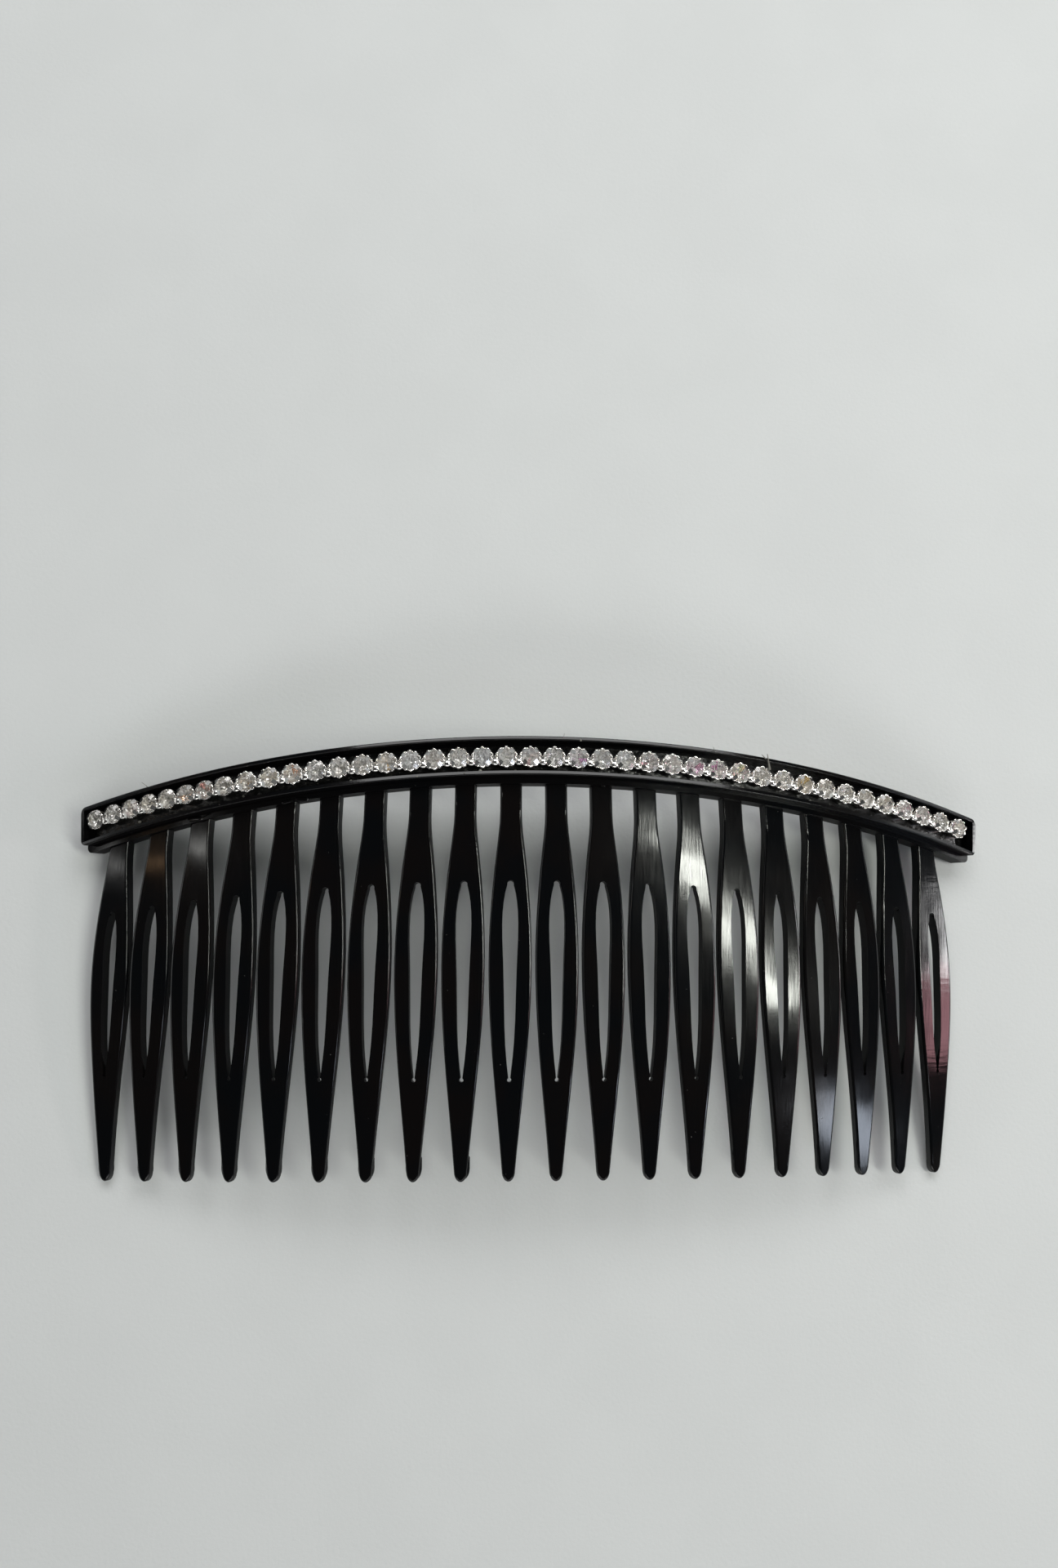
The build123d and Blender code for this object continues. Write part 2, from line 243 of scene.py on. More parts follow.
def moulded_finish(settings):
    """Glossy black plastic: cloudy, with polishing marks, dust, chatter and duller side walls."""
    finish = new_finish("glossy_black_plastic")
    place = finish.place()
    clouds = finish.noise(place, scale=90.0, detail=4.0)
    along_teeth = finish.stretched(place, scale=(1.0, 0.06, 1.0))
    polish = finish.noise(along_teeth, scale=5200.0, detail=2.0)
    grain = finish.noise(place, scale=2600.0)
    specks = finish.band(finish.noise(place, scale=2900.0, detail=1.0), low=0.80, high=0.84)
    warm = colour(*settings.plastic_warm)
    cold = colour(*settings.plastic_cold)
    dust = colour(0.16, 0.16, 0.15)
    tint = finish.blend(finish.band(clouds, low=0.35, high=0.65), cold, warm)
    dusty = finish.blend(specks * 0.35, tint, dust)
    rough = settings.plastic_roughness + clouds * 0.06 + polish * 0.06 + specks * 0.25
    last_teeth = finish.band(finish.part_of(place, "X"), *CHATTER_FROM)
    across_teeth = finish.stretched(place, scale=(0.12, 1.0, 0.12))
    chatter = finish.noise(across_teeth, scale=1900.0, detail=2.0) * last_teeth
    waviness = finish.noise(place, scale=160.0, detail=1.0)
    height = polish * 0.8 + grain * 0.15 + chatter * 2.2 + waviness * 14.0
    normal = finish.bump(height, PLASTIC_RELIEF)
    facing = finish.node("ShaderNodeNewGeometry", {}, {}, "True Normal")
    polished = finish.band(abs(finish.part_of(facing, "Z")), low=0.15, high=0.40)
    gloss = finish.surface(
        Base_Color=dusty,
        Roughness=rough,
        IOR=1.5,
        Specular_IOR_Level=0.36,
        Normal=normal,
    )
    dull = finish.surface(
        Base_Color=tint,
        Roughness=0.45,
        IOR=1.5,
        Specular_IOR_Level=0.1,
    )
    return finish.output(finish.either(polished, dull, gloss))


def plated_finish(settings):
    """Bright silver plating, slightly uneven and tarnished in patches."""
    finish = new_finish("bright_plating")
    place = finish.place()
    wear = finish.noise(place, scale=900.0)
    tarnish = finish.band(finish.noise(place, scale=380.0, detail=2.0), low=0.5, high=0.75)
    bright = colour(*settings.plating)
    tarnished = colour(0.52, 0.46, 0.38)
    shader = finish.surface(
        Base_Color=finish.blend(tarnish * 0.5, bright, tarnished),
        Metallic=1.0,
        Roughness=0.16 + wear * 0.14,
        Normal=finish.bump(wear, PLATING_RELIEF),
    )
    return finish.output(shader)


def crystal_finish(settings):
    """A foiled stone: clear glass on the crown, a mirror foil under the pavilion, with painted
    glints: random facets of the foil painted near white and a few painted with coloured fire.
    """
    finish = new_finish("foiled_crystal")
    place = finish.place()
    facing = finish.node("ShaderNodeNewGeometry", {}, {}, None)
    normal = Wire(finish, facing.outputs["True Normal"])
    behind = Wire(finish, facing.outputs["Backfacing"])
    outward_up = finish.part_of(normal, "Z") * (1.0 - behind * 2.0)
    crown = outward_up.above(0.0)
    along = finish.part_of(place, "X")
    outer = finish.band(abs(along), *OUTER_STONES)
    drift = finish.band(finish.noise(place, scale=330.0, detail=1.0), low=0.40, high=0.60)
    cloud = finish.noise(place, scale=1400.0, detail=2.0)
    cells = finish.node("ShaderNodeTexVoronoi", {}, {"Vector": place, "Scale": 2300.0}, "Distance")
    snapped = finish.node(
        "ShaderNodeVectorMath",
        {"operation": "SNAP"},
        {0: normal, 1: (0.02, 0.02, 0.02)},
        "Vector",
    )
    # A random value for each facet of the foil, which drives the painted glints and the painted
    # coloured fire
    facets = finish.node(
        "ShaderNodeTexWhiteNoise",
        {"noise_dimensions": "4D"},
        {"Vector": snapped, "W": (along / PAINTED_GLINT_STEP).whole()},
        None,
    )
    facet = Wire(finish, facets.outputs["Value"])
    painted_fire = Wire(finish, facets.outputs["Color"])
    warm = colour(*settings.crystal_warm)
    cold = colour(*settings.crystal_cold)
    # The near white of the painted glints on the foil's facets
    bright = colour(1.0, 0.99, 0.97)
    tint = finish.blend(outer * 0.45 + drift * 0.45, cold, warm)
    # Painted glints: random facets painted between the tint and near white, a few painted with
    # coloured fire; the foil's metallic share rises with the same value
    painted_glint_tint = finish.blend(facet, tint, bright)
    foil_tint_and_painted_glints = finish.blend(facet.above(0.95) * 0.6, painted_glint_tint, painted_fire)
    glass = finish.surface(
        Base_Color=colour(1.0, 1.0, 1.0),
        Roughness=cloud * 0.03,
        IOR=1.55,
        Transmission_Weight=1.0,
    )
    foil = finish.surface(
        Base_Color=foil_tint_and_painted_glints,
        Metallic=0.35 + facet * 0.5,
        Roughness=0.06 + cloud * 0.16,
        Normal=finish.bump(cells, FOIL_RELIEF),
    )
    return finish.output(finish.either(crown, foil, glass))


def adhesive_finish(settings):
    """Set clear glue over black: dark and wet-looking, with milky lumps and fine bubbles."""
    finish = new_finish("clear_adhesive")
    place = finish.place()
    lumps = finish.noise(place, scale=700.0)
    bubbles = finish.band(finish.noise(place, scale=3800.0, detail=1.0), low=0.68, high=0.74)
    deep = colour(0.004, 0.004, 0.004)
    milky = colour(*settings.adhesive)
    milkiness = finish.band(lumps, low=0.55, high=0.85) * 0.12 + bubbles * 0.15
    shader = finish.surface(
        Base_Color=finish.blend(milkiness, deep, milky),
        Roughness=0.12 + lumps * 0.2,
        IOR=1.47,
        Normal=finish.bump(lumps + bubbles * 0.3, GLUE_RELIEF),
    )
    return finish.output(shader)


def thread_finish(settings):
    """Glue drawn thin: milky, half clear and glossy."""
    finish = new_finish("milky_adhesive")
    place = finish.place()
    lumps = finish.noise(place, scale=1300.0)
    milky = colour(*settings.adhesive)
    dark = colour(0.12, 0.12, 0.11)
    shader = finish.surface(
        Base_Color=finish.blend(finish.band(lumps, low=0.35, high=0.7), milky, dark),
        Roughness=0.18 + lumps * 0.2,
        IOR=1.47,
        Alpha=0.55 + lumps * 0.35,
        Normal=finish.bump(lumps, THREAD_RELIEF),
    )
    return finish.output(shader)


def paper_finish(settings):
    """Pale matt paper with a faint tooth."""
    finish = new_finish("pale_paper")
    place = finish.place()
    mottle = finish.noise(place, scale=60.0, detail=4.0)
    tooth = finish.noise(place, scale=1800.0)
    pale = colour(*settings.paper)
    grey = colour(*(0.98 * level for level in settings.paper))
    shader = finish.surface(
        Base_Color=finish.blend(finish.band(mottle, low=0.35, high=0.65), grey, pale),
        Roughness=0.75 + tooth * 0.15,
        IOR=1.4,
        Normal=finish.bump(tooth, PAPER_RELIEF),
    )
    return finish.output(shader)


# ---- Modelling helpers ----


def clear_selection():
    """Leave edit mode and select nothing."""
    if bpy.context.object is not None and bpy.context.object.mode != "OBJECT":
        bpy.ops.object.mode_set(mode="OBJECT")
    bpy.ops.object.select_all(action="DESELECT")


def take_up(piece):
    """Select one piece alone and make it the active one."""
    clear_selection()
    piece.select_set(True)
    bpy.context.view_layer.objects.active = piece


def settle(piece):
    """Put a finished piece's place into its mesh."""
    take_up(piece)
    bpy.ops.object.transform_apply(location=True, rotation=True, scale=True)


def turned_to(place, along, up):
    """The matrix of a place whose x runs along and whose z is nearest to up."""
    x_dir = Vector(along).normalized()
    z_dir = (up - x_dir * up.dot(x_dir)).normalized()
    y_dir = z_dir.cross(x_dir)
    turn = Matrix((x_dir, y_dir, z_dir)).transposed().to_4x4()
    return Matrix.Translation(place) @ turn


def table_of(stone):
    """The middle and the normal of a stone's table: its largest flat."""
    faces = [face for face in stone.data.polygons if face.normal.z > LOOKS_UP]
    best = ()
    for face in faces:
        level = [other for other in faces if other.normal.dot(face.normal) > SAME_FLAT]
        area = sum(other.area for other in level)
        if not best or area > best[0] * CLEARLY_LARGER:
            best = (area, level, face.normal.copy())
    area, level, normal = best
    middle = sum((other.center * other.area for other in level), Vector()) / area
    return middle, normal


def stone_places():
    """Each stone's girdle: its middle and its axis, from left to right."""
    places = []
    for name in sorted(name for name in NODES if name.startswith("rhinestone_")):
        middle, normal = table_of(NODES[name])
        places.append((middle - normal * CROWN_HEIGHT, normal))
    return places


def chain_seat(places, number):
    """The frame of a stone, by its number: x along the chain, y to the outer edge, z out."""
    middle, normal = places[number - 1]
    before = places[max(number - 2, 0)][0]
    after = places[min(number, len(places) - 1)][0]
    return turned_to(middle, after - before, normal)


def add_copy(master, name, matrix, material):
    """A copy of a master piece with its own mesh, put in place."""
    mesh = master.data.copy()
    mesh.transform(matrix)
    mesh.materials.clear()
    mesh.materials.append(material)
    piece = bpy.data.objects.new(name, mesh)
    bpy.context.scene.collection.objects.link(piece)
    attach(piece, "root")
    return piece


def drop_master(master):
    """Remove a master piece once its copies are made."""
    clear_selection()
    bpy.data.objects.remove(master, do_unlink=True)


def edit(piece):
    """Go into edit mode on a piece with nothing selected, and give its working mesh."""
    take_up(piece)
    bpy.ops.object.mode_set(mode="EDIT")
    bpy.ops.mesh.select_all(action="DESELECT")
    return bmesh.from_edit_mesh(piece.data)


def pick(piece, work, wanted):
    """Select the vertices that a test wants, by their place."""
    bpy.ops.mesh.select_all(action="DESELECT")
    for vertex in work.verts:
        vertex.select = wanted(vertex.co)
    work.select_flush(True)
    bmesh.update_edit_mesh(piece.data)


def smoothed(piece):
    """Round a piece with an applied subdivision surface."""
    take_up(piece)
    rounding = piece.modifiers.new("rounding", "SUBSURF")
    rounding.levels = 1
    rounding.render_levels = 1
    bpy.ops.object.modifier_apply(modifier="rounding")
    bpy.ops.object.shade_smooth()


# ---- Settings ----


class CombFinishSettings(bpy.types.PropertyGroup):
    plastic_warm: FloatVectorProperty(
        name="Plastic, warm",
        description="Colour of the moulding where it runs warm",
        subtype="COLOR",
        default=(0.0032, 0.0025, 0.0025),
    )
    plastic_cold: FloatVectorProperty(
        name="Plastic, cold",
        description="Colour of the moulding where it runs cold",
        subtype="COLOR",
        default=(0.0018, 0.0022, 0.0028),
    )
    plastic_roughness: FloatProperty(
        name="Plastic roughness",
        description="Least roughness of the moulding",
        subtype="FACTOR",
        min=0.0,
        max=1.0,
        default=0.05,
    )
    plating: FloatVectorProperty(
        name="Plating",
        description="Colour of the cups and links",
        subtype="COLOR",
        default=(0.92, 0.90, 0.87),
    )
    crystal_warm: FloatVectorProperty(
        name="Stone, warm",
        description="Foil colour of the warmer stones",
        subtype="COLOR",
        default=(0.95, 0.87, 0.74),
    )
    crystal_cold: FloatVectorProperty(
        name="Stone, cold",
        description="Foil colour of the colder stones",
        subtype="COLOR",
        default=(0.93, 0.94, 0.95),
    )
    adhesive: FloatVectorProperty(
        name="Adhesive",
        description="Colour of the glue where it is thick",
        subtype="COLOR",
        default=(0.30, 0.29, 0.25),
    )
    paper: FloatVectorProperty(
        name="Paper",
        description="Colour of the table's pale paper",
        subtype="COLOR",
        default=(0.64, 0.656, 0.654),
    )


class CupRimSettings(bpy.types.PropertyGroup):
    lobes: IntProperty(
        name="Lobes",
        description="Lobes round a cup's rim",
        default=10,
    )
    radius: FloatProperty(
        name="Rim radius",
        description="Radius of the middle of a cup's rim",
        unit="LENGTH",
        precision=5,
        default=1.25 * MM,
    )
    thickness: FloatProperty(
        name="Rim thickness",
        description="Thickness of a cup's rim",
        unit="LENGTH",
        precision=5,
        default=0.36 * MM,
    )
    valley: FloatProperty(
        name="Valley",
        description="Radius of the rim between two lobes, as a share of its radius on a lobe",
        subtype="FACTOR",
        default=0.82,
    )
    pitch: FloatProperty(
        name="Pitch",
        description="Distance between two stones at which a rim has its full size",
        unit="LENGTH",
        precision=5,
        default=2.92 * MM,
    )
    bead: FloatProperty(
        name="Solder bead",
        description="Radius of the bead that joins two cups on the teeth's side",
        unit="LENGTH",
        precision=5,
        default=0.60 * MM,
    )


class GlueSettings(bpy.types.PropertyGroup):
    thread_length: FloatProperty(
        name="Thread length",
        description="Length of a full-sized glue thread",
        unit="LENGTH",
        precision=5,
        default=2.6 * MM,
    )
    thread_width: FloatProperty(
        name="Thread width",
        description="Width of a glue thread at its foot",
        unit="LENGTH",
        precision=5,
        default=0.42 * MM,
    )
    speck_width: FloatProperty(
        name="Speck width",
        description="Width of a full-sized speck of glue",
        unit="LENGTH",
        precision=5,
        default=0.45 * MM,
    )
    flash_length: FloatProperty(
        name="Flash length",
        description="Length of a full-sized lump of mould flash",
        unit="LENGTH",
        precision=5,
        default=1.7 * MM,
    )


class StudioSettings(bpy.types.PropertyGroup):
    camera_place: FloatVectorProperty(
        name="Camera place",
        description="Where the camera stands",
        subtype="TRANSLATION",
        unit="LENGTH",
        precision=5,
        default=(-0.009638, 0.009213, 0.158117),
    )
    camera_turn: FloatVectorProperty(
        name="Camera turn",
        description="How the camera is turned from looking straight down",
        subtype="EULER",
        unit="ROTATION",
        default=(radians(5.0698), radians(-3.1277), radians(0.1604)),
    )
    lens: FloatProperty(
        name="Lens",
        description="Focal length of the camera",
        default=27.17,
    )
    key_power: FloatProperty(
        name="Key power",
        description="Power of the broad light behind the spine",
        unit="POWER",
        default=3.3,
    )
    side_power: FloatProperty(
        name="Side power",
        description="Power of each side light",
        unit="POWER",
        default=0.4,
    )
    front_power: FloatProperty(
        name="Front power",
        description="Power of the broad light on the teeth's side",
        unit="POWER",
        default=1.1,
    )
    room_level: FloatProperty(
        name="Room level",
        description="Brightness of the pale room near the horizon",
        default=0.35,
    )
    overhead_level: FloatProperty(
        name="Overhead level",
        description="Brightness of the dark room overhead, which the glossy faces mirror",
        default=0.03,
    )


# ---- Operators ----


class COMB_OT_finish_moulding(bpy.types.Operator):
    """Give the spine and the teeth their black plastic"""

    bl_idname = "comb.finish_moulding"
    bl_label = "Finish Moulding"

    def execute(self, context):
        material = moulded_finish(context.scene.comb_finishes)
        for name in ("comb_spine", "comb_teeth"):
            clothe(name, material)
        return {"FINISHED"}


class COMB_OT_finish_settings(bpy.types.Operator):
    """Give the cups and the links their plating"""

    bl_idname = "comb.finish_settings"
    bl_label = "Finish Cup Chain"

    def execute(self, context):
        material = plated_finish(context.scene.comb_finishes)
        for name in ("setting_cups", "chain_links"):
            clothe(name, material)
        return {"FINISHED"}


class COMB_OT_finish_stones(bpy.types.Operator):
    """Give every stone its foiled crystal"""

    bl_idname = "comb.finish_stones"
    bl_label = "Finish Stones"

    def execute(self, context):
        material = crystal_finish(context.scene.comb_finishes)
        stones = [name for name in NODES if name.startswith("rhinestone_")]
        if not stones:
            raise RuntimeError("the frame has no stones")
        for name in stones:
            clothe(name, material)
        return {"FINISHED"}


class COMB_OT_add_rims(bpy.types.Operator):
    """Add each cup's scalloped rim, which is folded in over the stone"""

    bl_idname = "comb.add_rims"
    bl_label = "Add Cup Rims"

    def execute(self, context):
        scene = context.scene
        rims = scene.comb_rims
        material = bpy.data.materials["bright_plating"]
        places = stone_places()
        clear_selection()
        segments = rims.lobes * LOBE_STEPS
        bpy.ops.mesh.primitive_torus_add(
            major_segments=segments,
            minor_segments=8,
            major_radius=rims.radius,
            minor_radius=rims.thickness / 2,
        )
        master = context.object
        work = edit(master)
        between = 2 * pi / rims.lobes

        def in_valley(place):
            share = (atan2(place.y, place.x) / between) % 1.0
            return min(share, 1.0 - share) < VALLEY_REACH / LOBE_STEPS

        pick(master, work, in_valley)
        bpy.ops.transform.resize(value=(rims.valley, rims.valley, 1.0))
        bpy.ops.transform.translate(value=(0.0, 0.0, -rims.thickness / 4))
        bpy.ops.mesh.select_all(action="INVERT")
        bpy.ops.transform.resize(value=(1.0, 1.0, LOBE_HEIGHT))
        bpy.ops.object.mode_set(mode="OBJECT")
        smoothed(master)
        steps = [(right[0] - left[0]).length for left, right in zip(places, places[1:])]
        for number in range(1, len(places) + 1):
            nearest = min(steps[max(number - 2, 0):number])
            size = min(nearest / rims.pitch, 1.0)
            matrix = chain_seat(places, number) @ Matrix.Scale(size, 4)
            add_copy(master, f"cup_rim_{number:02d}", matrix, material)
        drop_master(master)
        return {"FINISHED"}


class COMB_OT_add_beads(bpy.types.Operator):
    """Add the solder beads that join the cups on the teeth's side"""

    bl_idname = "comb.add_beads"
    bl_label = "Add Solder Beads"

    def execute(self, context):
        radius = context.scene.comb_rims.bead
        material = bpy.data.materials["bright_plating"]
        places = stone_places()
        clear_selection()
        bpy.ops.mesh.primitive_uv_sphere_add(segments=12, ring_count=8, radius=radius)
        master = context.object
        work = edit(master)
        bpy.ops.mesh.select_all(action="SELECT")
        bpy.ops.transform.resize(value=BEAD_SHAPE)
        pick(master, work, lambda place: place.z < BEAD_NECK_BELOW * radius)
        bpy.ops.transform.resize(value=(BEAD_NECK_WIDTH, BEAD_NECK_WIDTH, 1.0))
        bpy.ops.transform.translate(value=(0.0, 0.0, -radius))
        bpy.ops.object.mode_set(mode="OBJECT")
        smoothed(master)
        for number, (left, right) in enumerate(zip(places, places[1:])):
            along = right[0] - left[0]
            up = (left[1] + right[1]).normalized()
            middle = (left[0] + right[0]) / 2 + up * BEAD_STAND_OUT
            seat = turned_to(middle, along, up) @ Matrix.Translation(BEAD_SEAT)
            close = along.length / context.scene.comb_rims.pitch
            matrix = seat @ Matrix.Scale(close, 4)
            add_copy(master, f"solder_bead_{number + 1:02d}", matrix, material)
        drop_master(master)
        return {"FINISHED"}


# Glue threads: stone number, foot along, across and out of the chain, lean along and across, length
GLUE_THREADS = (
    (31, 0.9, 0.9, 0.25, -0.45, 0.85, 1.00),
    (31, 0.2, 2.2, 0.35, -0.75, 0.35, 0.55),
    (4, 0.2, 1.9, -0.30, -0.30, 0.90, 0.50),
    (22, 1.0, 2.2, 0.40, 0.20, 0.55, 0.35),
    (29, -0.6, 2.0, 0.40, -0.40, 0.60, 0.40),
    (18, 0.6, -1.9, 0.35, 0.30, -0.40, 0.30),
)

# Glue specks: stone number, place along, across and out of the chain, size
GLUE_SPECKS = (
    (3, 0.5, -1.75, -0.75, 0.8),
    (9, -0.9, -1.6, -0.70, 0.6),
    (13, 1.2, -1.7, -0.60, 0.7),
    (16, 0.8, -2.1, 0.50, 0.55),
    (19, -0.3, -1.75, 0.15, 1.0),
    (20, 1.1, -1.65, -0.50, 0.6),
    (23, 0.2, 2.15, 0.46, 0.6),
    (26, -1.0, -1.7, -0.60, 0.9),
    (30, 0.7, -1.65, -0.60, 0.7),
    (33, 1.3, -1.8, -0.70, 0.8),
    (36, -0.4, -2.0, -0.80, 0.9),
    (38, 1.0, -2.1, -0.90, 0.7),
)

# Flash left by the mould under the spine: stone number, place along the chain, size, turn
FLASH_LUMPS = (
    (5, 0.6, 0.9, 0.2),
    (6, 0.3, 1.2, -0.1),
    (6, 1.9, 0.8, 0.3),
    (10, 1.6, 0.8, 0.1),
    (11, 0.6, 1.0, -0.2),
    (12, 0.2, 0.6, 0.1),
    (24, 0.4, 0.4, 0.0),
)


class COMB_OT_add_glue_threads(bpy.types.Operator):
    """Add the threads that the glue drew out as it set"""

    bl_idname = "comb.add_glue_threads"
    bl_label = "Add Glue Threads"

    def execute(self, context):
        glue = context.scene.comb_glue
        material = thread_finish(context.scene.comb_finishes)
        places = stone_places()
        clear_selection()
        step = glue.thread_length / THREAD_STEPS
        bpy.ops.mesh.primitive_cone_add(
            vertices=8,
            radius1=glue.thread_width / 2,
            radius2=glue.thread_width * THREAD_TIP,
            depth=step,
            location=(0.0, 0.0, step / 2),
        )
        master = context.object
        settle(master)
        work = edit(master)
        pick(master, work, lambda place: place.z > step / 2)
        for number in range(1, THREAD_STEPS):
            bend = (THREAD_BEND[0] * number * step, THREAD_BEND[1] * number * step, step)
            bpy.ops.mesh.extrude_region_move(TRANSFORM_OT_translate={"value": bend})
            bpy.ops.transform.resize(value=(THREAD_TAPER, THREAD_TAPER, 1.0))
        bpy.ops.object.mode_set(mode="OBJECT")
        smoothed(master)
        for index, thread in enumerate(GLUE_THREADS):
            number, along, across, out, lean_along, lean_across, size = thread
            seat = chain_seat(places, number)
            foot = Matrix.Translation((along * MM, across * MM, out * MM))
            lean = Vector((lean_along, lean_across, THREAD_UPRIGHT)).to_track_quat("Z", "Y")
            matrix = seat @ foot @ lean.to_matrix().to_4x4() @ Matrix.Scale(size, 4)
            add_copy(master, f"glue_thread_{index + 1}", matrix, material)
        drop_master(master)
        return {"FINISHED"}


class COMB_OT_add_glue_specks(bpy.types.Operator):
    """Add the specks of glue squeezed out beside the chain"""

    bl_idname = "comb.add_glue_specks"
    bl_label = "Add Glue Specks"

    def execute(self, context):
        glue = context.scene.comb_glue
        material = bpy.data.materials["milky_adhesive"]
        places = stone_places()
        clear_selection()
        bpy.ops.mesh.primitive_ico_sphere_add(subdivisions=2, radius=glue.speck_width / 2)
        master = context.object
        work = edit(master)
        pick(master, work, lambda place: place.z < 0.0)
        bpy.ops.transform.resize(value=SPECK_FOOT)
        bpy.ops.mesh.select_all(action="SELECT")
        bpy.ops.transform.resize(value=SPECK_SHAPE)
        bpy.ops.object.mode_set(mode="OBJECT")
        smoothed(master)
        for index, (number, along, across, out, size) in enumerate(GLUE_SPECKS):
            foot = Matrix.Translation((along * MM, across * MM, out * MM))
            turn = Matrix.Rotation(SPECK_TURN * index, 4, "Z")
            matrix = chain_seat(places, number) @ foot @ turn @ Matrix.Scale(size, 4)
            add_copy(master, f"glue_speck_{index + 1:02d}", matrix, material)
        drop_master(master)
        return {"FINISHED"}


class COMB_OT_add_flash(bpy.types.Operator):
    """Add the lumps of flash that the mould left along the spine's foot"""

    bl_idname = "comb.add_flash"
    bl_label = "Add Mould Flash"

    def execute(self, context):
        glue = context.scene.comb_glue
        material = bpy.data.materials["glossy_black_plastic"]
        places = stone_places()
        clear_selection()
        bpy.ops.mesh.primitive_cube_add(size=glue.flash_length)
        master = context.object
        edit(master)
        bpy.ops.mesh.select_all(action="SELECT")
        bpy.ops.transform.resize(value=FLASH_SHAPE)
        fractal = FLASH_ROUGHNESS * glue.flash_length / MM
        bpy.ops.mesh.subdivide(number_cuts=3, fractal=fractal, seed=FLASH_SEED)
        bpy.ops.mesh.vertices_smooth(factor=0.5, repeat=2)
        bpy.ops.object.mode_set(mode="OBJECT")
        smoothed(master)
        for index, (number, along, size, turn) in enumerate(FLASH_LUMPS):
            foot = Matrix.Translation((along * MM, FLASH_ACROSS, FLASH_OUT))
            matrix = chain_seat(places, number) @ foot @ Matrix.Rotation(turn, 4, "Z")
            matrix = matrix @ Matrix.Scale(size, 4)
            add_copy(master, f"mould_flash_{index + 1}", matrix, material)
        drop_master(master)
        return {"FINISHED"}


class COMB_OT_finish_adhesive(bpy.types.Operator):
    """Give the glue bed its clear glue"""

    bl_idname = "comb.finish_adhesive"
    bl_label = "Finish Adhesive"

    def execute(self, context):
        clothe("adhesive_bed", adhesive_finish(context.scene.comb_finishes))
        return {"FINISHED"}


def add_softbox(name, place, aim, size, power, tint=(1.0, 1.0, 1.0)):
    """A rectangular light that faces its aim."""
    clear_selection()
    place = Vector(place)
    turn = (place - Vector(aim)).to_track_quat("Z", "Y").to_euler()
    bpy.ops.object.light_add(type="AREA", location=place, rotation=turn)
    lamp = bpy.context.object
    lamp.name = name
    lamp.data.shape = "RECTANGLE"
    lamp.data.size, lamp.data.size_y = size
    lamp.data.energy = power
    lamp.data.color = tint
    return lamp


def tube_turn(place, aim, along):
    """The turn of a light that faces its aim with its long side along a direction."""
    facing = (Vector(place) - Vector(aim)).normalized()
    length = Vector(along)
    length = (length - facing * length.dot(facing)).normalized()
    width = facing.cross(length)
    return Matrix((length, width, facing)).transposed().to_euler()


# The broad lights of the studio: place, size, and the setting that holds the power
BROAD_LIGHTS = {
    "key_light": ((0.05, 0.51, 0.48), (0.7, 0.30), "key_power"),
    "front_light": ((0.0, -0.54, 0.42), (0.8, 0.16), "front_power"),
    "left_light": ((-0.60, 0.06, 0.16), (0.5, 0.2), "side_power"),
    "right_light": ((0.60, 0.10, 0.16), (0.5, 0.2), "side_power"),
}

# The tube over the right-hand teeth, and the direction that it runs in: the tube has a place, an
# aim, a size, a power and a tint, and so has each small lamp or window that the outer teeth mirror
TUBE_LIGHT = ((0.31, 0.004, 0.51), (0.02, 0.008, 0.012), (0.30, 0.022), 1.15, (0.97, 1.0, 0.92))
TUBE_ALONG = (0.73, -0.68, 0.0)
LAST_TOOTH = (0.054, 0.0, 0.003)
ROOM_LAMPS = {
    "far_window": (
        (0.46, -0.24, 0.35), (0.04, -0.02, 0.006), (0.05, 0.10), 0.18, (0.78, 0.86, 1.0)
    ),
    "grey_window": (
        (0.42, -0.22, 0.40), (0.035, -0.02, 0.008), (0.03, 0.06), 0.03, (0.9, 0.93, 1.0)
    ),
    "pink_panel": ((0.45, -0.085, 0.192), LAST_TOOTH, (0.08, 0.05), 0.09, (1.0, 0.50, 0.56)),
    "white_panel": ((0.45, -0.015, 0.192), LAST_TOOTH, (0.08, 0.03), 0.22, (1.0, 1.0, 1.0)),
    "warm_lamp": (
        (-0.50, 0.060, 0.40), (-0.047, 0.013, 0.006), (0.012, 0.05), 0.007, (1.0, 0.62, 0.34)
    ),
    "left_lamp": (
        (-0.43, 0.075, 0.42), (-0.042, 0.014, 0.008), (0.02, 0.03), 0.018, (1.0, 1.0, 0.96)
    ),
    "low_lamp": (
        (-0.53, 0.050, 0.32), (-0.054, 0.011, 0.004), (0.02, 0.02), 0.007, (1.0, 1.0, 0.98)
    ),
}


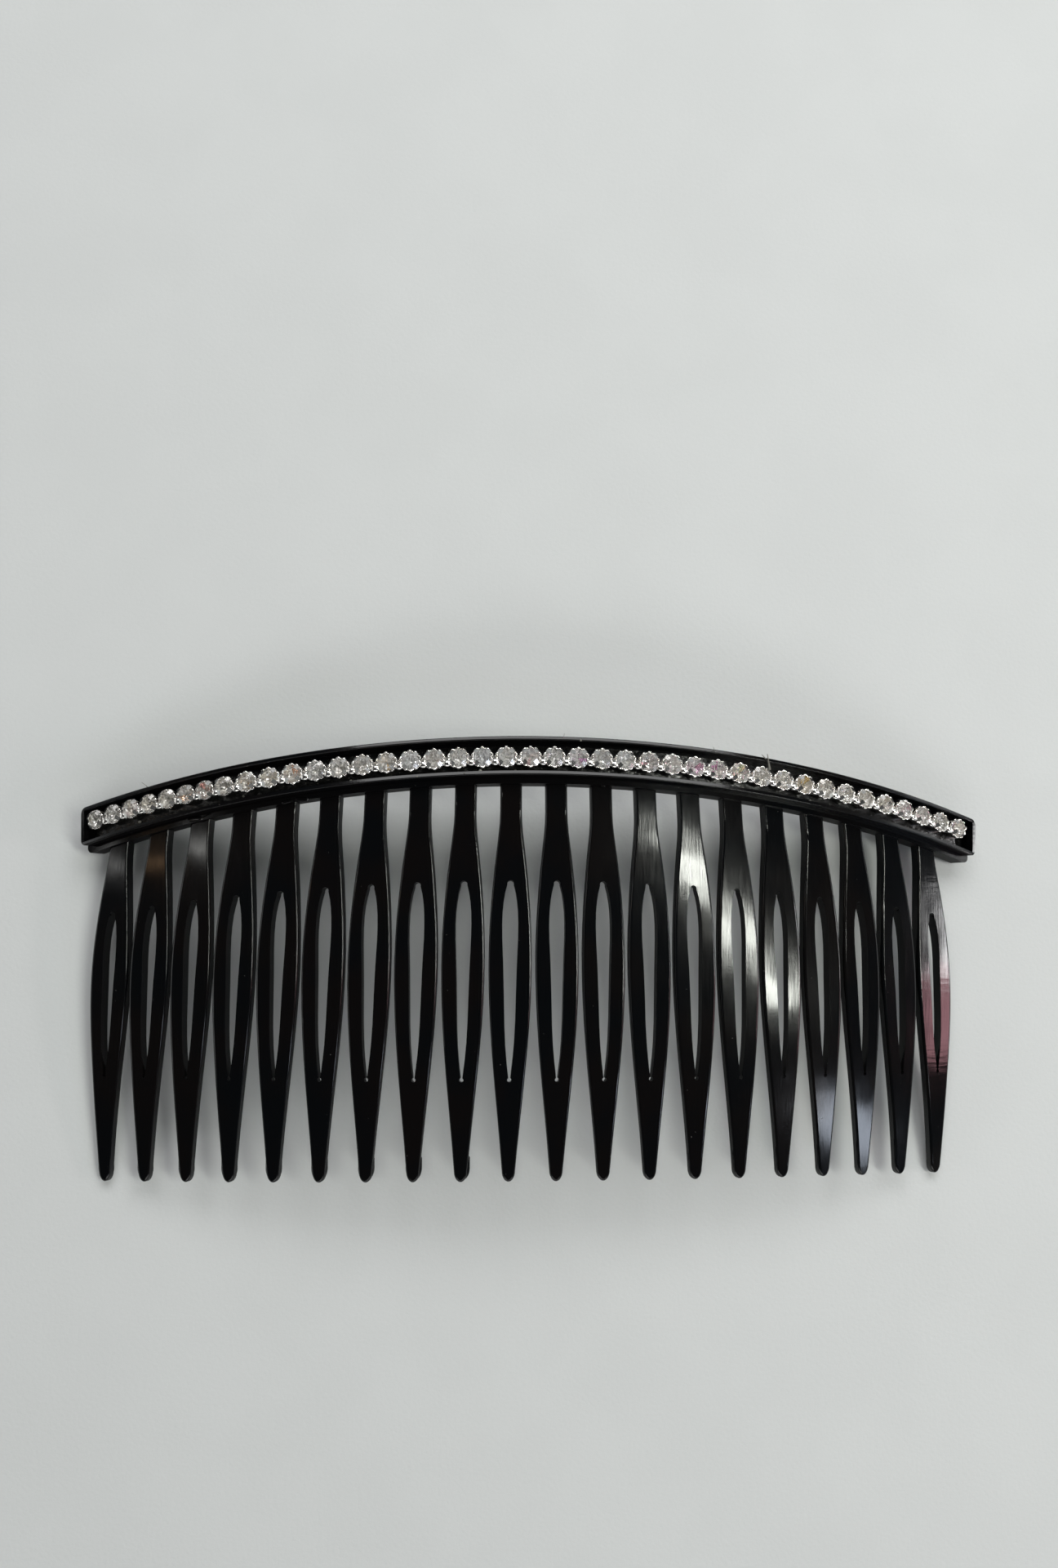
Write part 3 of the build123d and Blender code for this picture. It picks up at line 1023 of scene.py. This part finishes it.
class COMB_OT_stage(bpy.types.Operator):
    """Lay the paper, light it and set the camera"""

    bl_idname = "comb.stage"
    bl_label = "Set Stage"

    def execute(self, context):
        scene = context.scene
        studio = scene.comb_studio
        clear_selection()
        bpy.ops.mesh.primitive_plane_add(size=PAPER_SIZE)
        floor = context.object
        floor.name = "paper_floor"
        bpy.ops.object.mode_set(mode="EDIT")
        bpy.ops.mesh.subdivide(number_cuts=PAPER_CUTS)
        bpy.ops.object.mode_set(mode="OBJECT")
        floor.data.materials.append(paper_finish(scene.comb_finishes))

        middle = (0.0, 0.0, 0.0)
        for name, (place, size, power) in BROAD_LIGHTS.items():
            add_softbox(name, place, middle, size, getattr(studio, power))
        tube = add_softbox("tube_light", *TUBE_LIGHT)
        tube.rotation_euler = tube_turn(tube.location, TUBE_LIGHT[1], TUBE_ALONG)
        for name, lamp in ROOM_LAMPS.items():
            add_softbox(name, *lamp)

        world = bpy.data.worlds.new("dim_room")
        scene.world = world
        room = Finish(world)
        direction = room.node("ShaderNodeTexCoord", {}, {}, "Generated")
        up = room.part_of(direction, "Z")
        overhead = room.band(up, *DARK_FROM)
        level = studio.room_level + overhead * (studio.overhead_level - studio.room_level)
        glow = room.node(
            "ShaderNodeBackground",
            {},
            {"Color": colour(0.94, 0.99, 1.0), "Strength": level},
            "Background",
        )
        room.output(glow, "ShaderNodeOutputWorld")

        clear_selection()
        turn = Euler(studio.camera_turn)
        bpy.ops.object.camera_add(location=studio.camera_place, rotation=turn)
        camera = context.object
        camera.name = "studio_camera"
        camera.data.sensor_width = SENSOR_WIDTH
        camera.data.lens = studio.lens
        camera.data.clip_start = NEAREST_SEEN
        scene.camera = camera
        scene.view_settings.view_transform = "Standard"
        return {"FINISHED"}


class COMB_PT_panel(bpy.types.Panel):
    """The comb's steps, in order"""

    bl_idname = "COMB_PT_panel"
    bl_label = "Hair Comb"
    bl_space_type = "VIEW_3D"
    bl_region_type = "UI"
    bl_category = "Hair Comb"

    def draw(self, context):
        for step in STEPS:
            self.layout.operator(step.bl_idname)
        scene = context.scene
        groups = (scene.comb_finishes, scene.comb_rims, scene.comb_glue, scene.comb_studio)
        for group in groups:
            for name in group.__annotations__:
                self.layout.prop(group, name)


STEPS = (
    COMB_OT_finish_moulding,
    COMB_OT_finish_settings,
    COMB_OT_finish_stones,
    COMB_OT_add_rims,
    COMB_OT_add_beads,
    COMB_OT_finish_adhesive,
    COMB_OT_add_glue_threads,
    COMB_OT_add_glue_specks,
    COMB_OT_add_flash,
    COMB_OT_stage,
)
GROUPS = (CombFinishSettings, CupRimSettings, GlueSettings, StudioSettings)
CLASSES = GROUPS + STEPS + (COMB_PT_panel,)


def register():
    for kind in CLASSES:
        bpy.utils.register_class(kind)
    bpy.types.Scene.comb_finishes = PointerProperty(type=CombFinishSettings)
    bpy.types.Scene.comb_rims = PointerProperty(type=CupRimSettings)
    bpy.types.Scene.comb_glue = PointerProperty(type=GlueSettings)
    bpy.types.Scene.comb_studio = PointerProperty(type=StudioSettings)


def unregister():
    del bpy.types.Scene.comb_studio
    del bpy.types.Scene.comb_glue
    del bpy.types.Scene.comb_rims
    del bpy.types.Scene.comb_finishes
    for kind in reversed(CLASSES):
        bpy.utils.unregister_class(kind)


def main():
    register()
    for step in STEPS:
        group, name = step.bl_idname.split(".")
        getattr(getattr(bpy.ops, group), name)()


if __name__ == "__main__":
    main()
